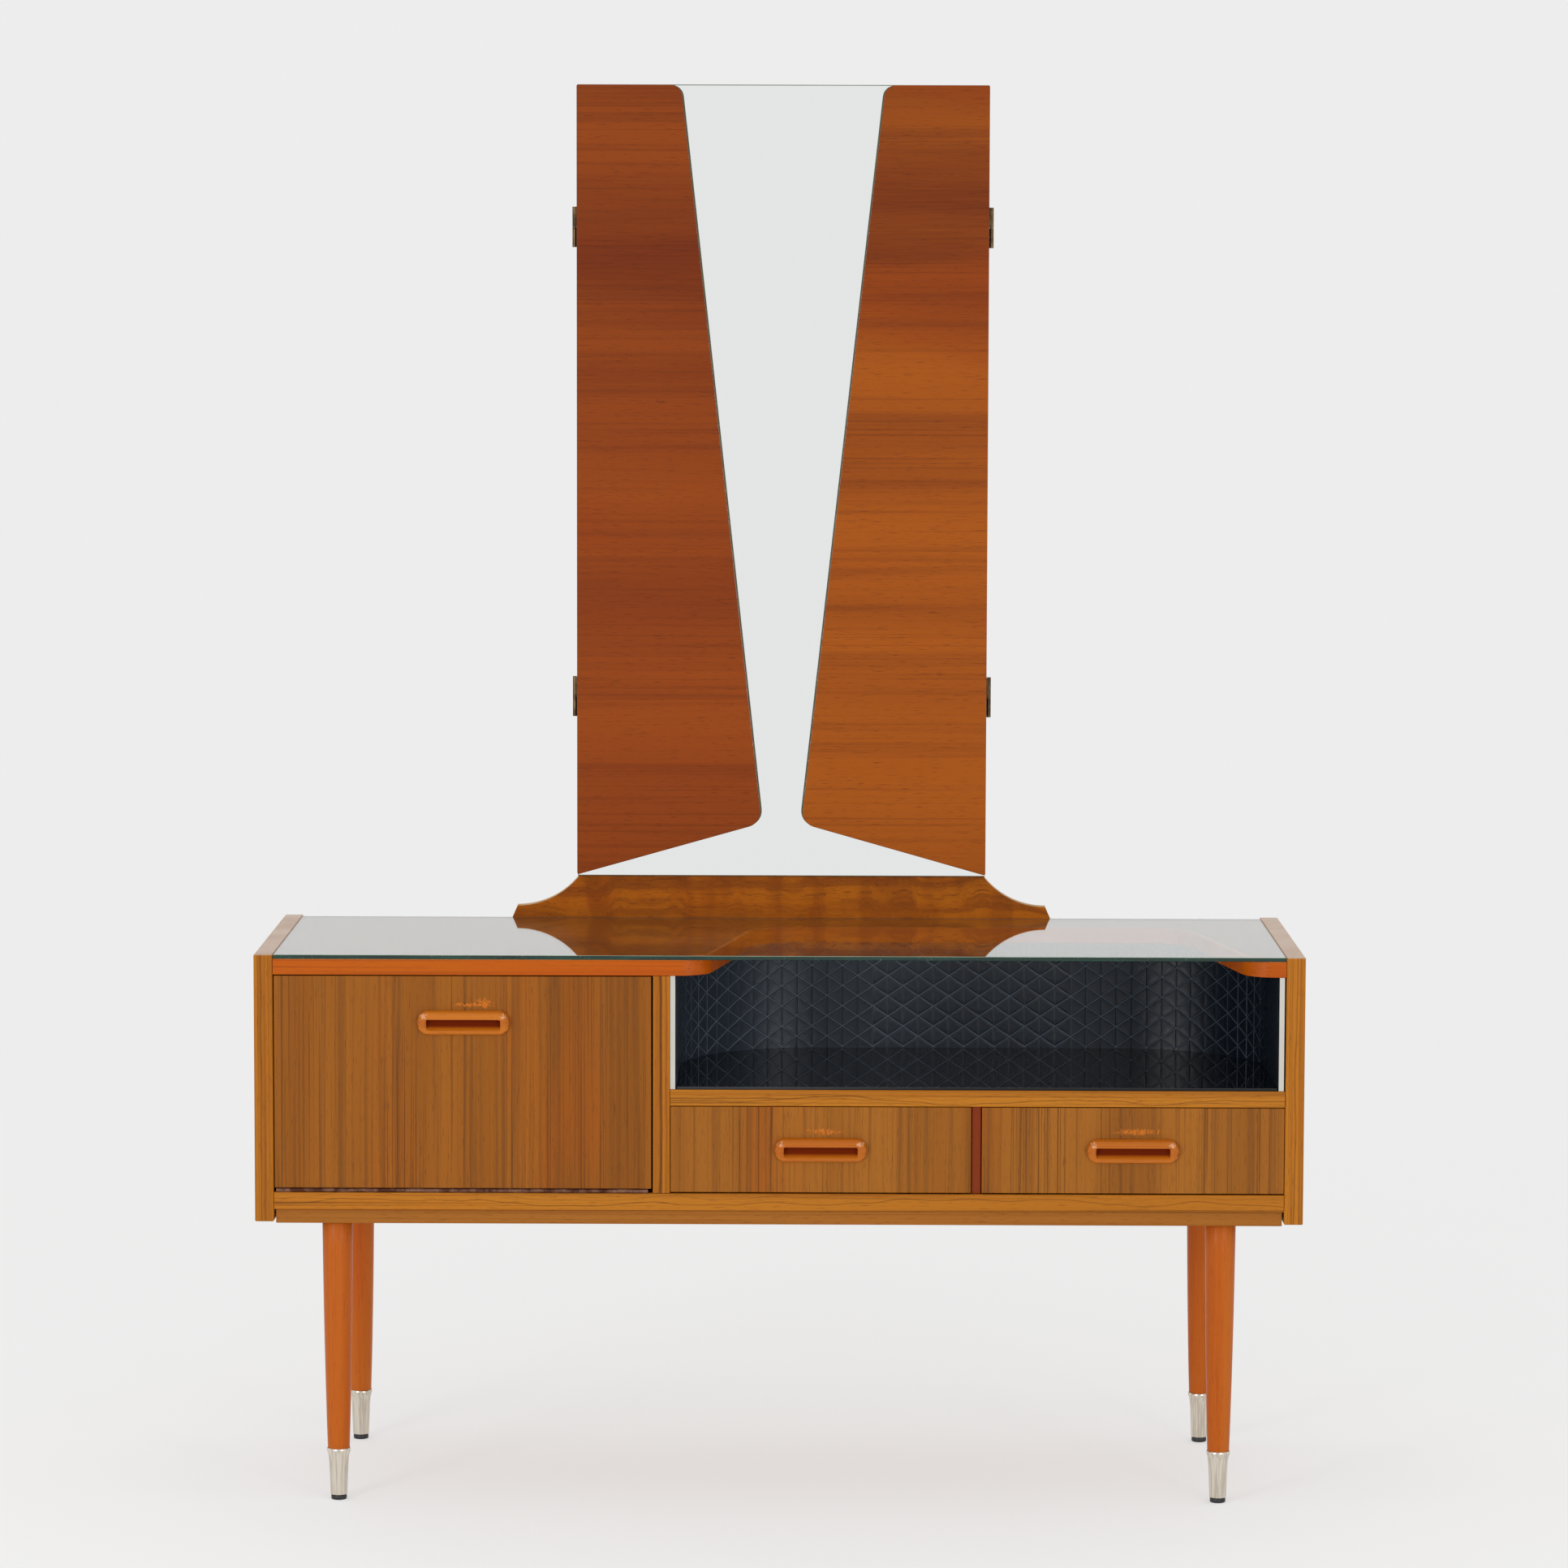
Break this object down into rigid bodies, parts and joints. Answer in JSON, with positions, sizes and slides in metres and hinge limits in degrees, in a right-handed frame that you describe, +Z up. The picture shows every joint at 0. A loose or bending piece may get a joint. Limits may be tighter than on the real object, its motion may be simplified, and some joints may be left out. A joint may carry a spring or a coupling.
{
  "type": "vanity table with mirror",
  "caption": "Wooden vanity table with a glass top, an open lined niche, a drop-front flap, drawers, turned legs and a tall mirror with folding side wings.",
  "frame": {"origin": "on the floor, under the centre of the whole object's box", "axes": "+Z up, -Y towards the person at the table (the front), +X to that person's right"},
  "size_m": [1.25, 0.4298, 1.7027],
  "materials": {
    "side_teak": "satin lacquered light teak, straight vertical grain",
    "rail_teak": "satin lacquered teak edge, straight horizontal grain",
    "base_teak": "satin lacquered teak, slightly darker",
    "front_veneer": "satin lacquered brown teak veneer, straight grain",
    "orange_wood": "semi-gloss lacquered solid orange-brown wood",
    "red_wood": "satin reddish-brown wood",
    "wing_veneer": "satin lacquered red-brown veneer, fine horizontal grain",
    "foot_veneer": "satin lacquered figured brown veneer, horizontal grain",
    "pale_wood": "raw pale plywood and pine",
    "hardboard": "raw brown hardboard",
    "white_board": "white painted bent plywood edge",
    "black_vinyl": "semi-gloss embossed black vinyl with a triangle pattern",
    "black_glass": "polished black glass",
    "clear_glass": "polished clear float glass with a green edge",
    "mirror_glass": "silvered float glass",
    "satin_nickel": "satin nickel, slightly warm",
    "brass": "dull aged brass",
    "black_plastic": "matt black"
  },
  "bodies": {
    "cabinet": {"back_panel": "hardboard", "base_rail_back": "base_teak", "base_rail_front": "base_teak", "bottom_panel": "rail_teak", "drawer_divider": "red_wood", "ferrule_front_left": "satin_nickel", "ferrule_front_right": "satin_nickel", "ferrule_rear_left": "satin_nickel", "ferrule_rear_right": "satin_nickel", "flap_catch": "black_plastic", "flap_hinge_fixed_leaf": "brass", "flap_stay_stud": "brass", "glass_top": "clear_glass", "glide_front_left": "black_plastic", "glide_front_right": "black_plastic", "glide_rear_left": "black_plastic", "glide_rear_right": "black_plastic", "leg_front_left": "orange_wood", "leg_front_right": "orange_wood", "leg_rear_left": "orange_wood", "leg_rear_right": "orange_wood", "mirror_batten_left": "pale_wood", "mirror_batten_right": "pale_wood", "mirror_board": "foot_veneer", "mirror_glass_centre": "mirror_glass", "mirror_hinge_left_lower_fixed": "brass", "mirror_hinge_left_upper_fixed": "brass", "mirror_hinge_right_lower_fixed": "brass", "mirror_hinge_right_upper_fixed": "brass", "niche_floor_glass": "black_glass", "niche_shelf": "rail_teak", "niche_shell": "white_board", "niche_vinyl": "black_vinyl", "partition_panel": "rail_teak", "side_panel_left": "side_teak", "side_panel_right": "side_teak", "top_lipping": "orange_wood", "top_panel": "front_veneer"},
    "flap": {"flap_panel": "front_veneer", "flap_handle": "orange_wood", "flap_hinge_moving_leaf": "brass", "flap_stay_bracket": "brass"},
    "stay_arm": {"flap_stay_bar": "brass"},
    "drawer_left": {"drawer_left_front": "front_veneer", "drawer_left_carcase": "pale_wood", "drawer_left_bottom": "hardboard", "drawer_left_handle": "orange_wood"},
    "wing_left": {"wing_left_board": "wing_veneer", "wing_left_glass": "mirror_glass", "mirror_hinge_left_lower_moving": "brass", "mirror_hinge_left_upper_moving": "brass"},
    "drawer_right": {"drawer_right_front": "front_veneer", "drawer_right_carcase": "pale_wood", "drawer_right_bottom": "hardboard", "drawer_right_handle": "orange_wood"},
    "wing_right": {"wing_right_board": "wing_veneer", "wing_right_glass": "mirror_glass", "mirror_hinge_right_lower_moving": "brass", "mirror_hinge_right_upper_moving": "brass"}
  },
  "joints": [
    {"name": "flap_hinge", "type": "hinge", "parent": "cabinet", "child": "flap", "pos_m": [-0.3768, -0.2034, 0.3812], "axis": [1, 0, 0], "range_deg": [0, 90]},
    {"name": "flap_stay_pivot", "type": "hinge", "parent": "flap", "child": "stay_arm", "pos_m": [-0.1598, -0.17195, 0.50734], "axis": [1, 0, 0], "range_deg": [-45.5, 0]},
    {"name": "drawer_left_slide", "type": "slide", "parent": "cabinet", "child": "drawer_left", "axis": [0, -1, 0], "range_m": [0, 0.26]},
    {"name": "drawer_right_slide", "type": "slide", "parent": "cabinet", "child": "drawer_right", "axis": [0, -1, 0], "range_m": [0, 0.26]},
    {"name": "wing_left_hinge", "type": "hinge", "parent": "cabinet", "child": "wing_left", "pos_m": [-0.2586, 0.1744, 0.943], "axis": [0, 0, -1], "range_deg": [0, 180]},
    {"name": "wing_right_hinge", "type": "hinge", "parent": "cabinet", "child": "wing_right", "pos_m": [0.2586, 0.1744, 0.943], "axis": [0, 0, 1], "range_deg": [0, 180]}
  ],
  "couplings": [
    {"joint": "flap_stay_pivot", "follows": "flap_hinge", "ratio": -0.5}
  ]
}
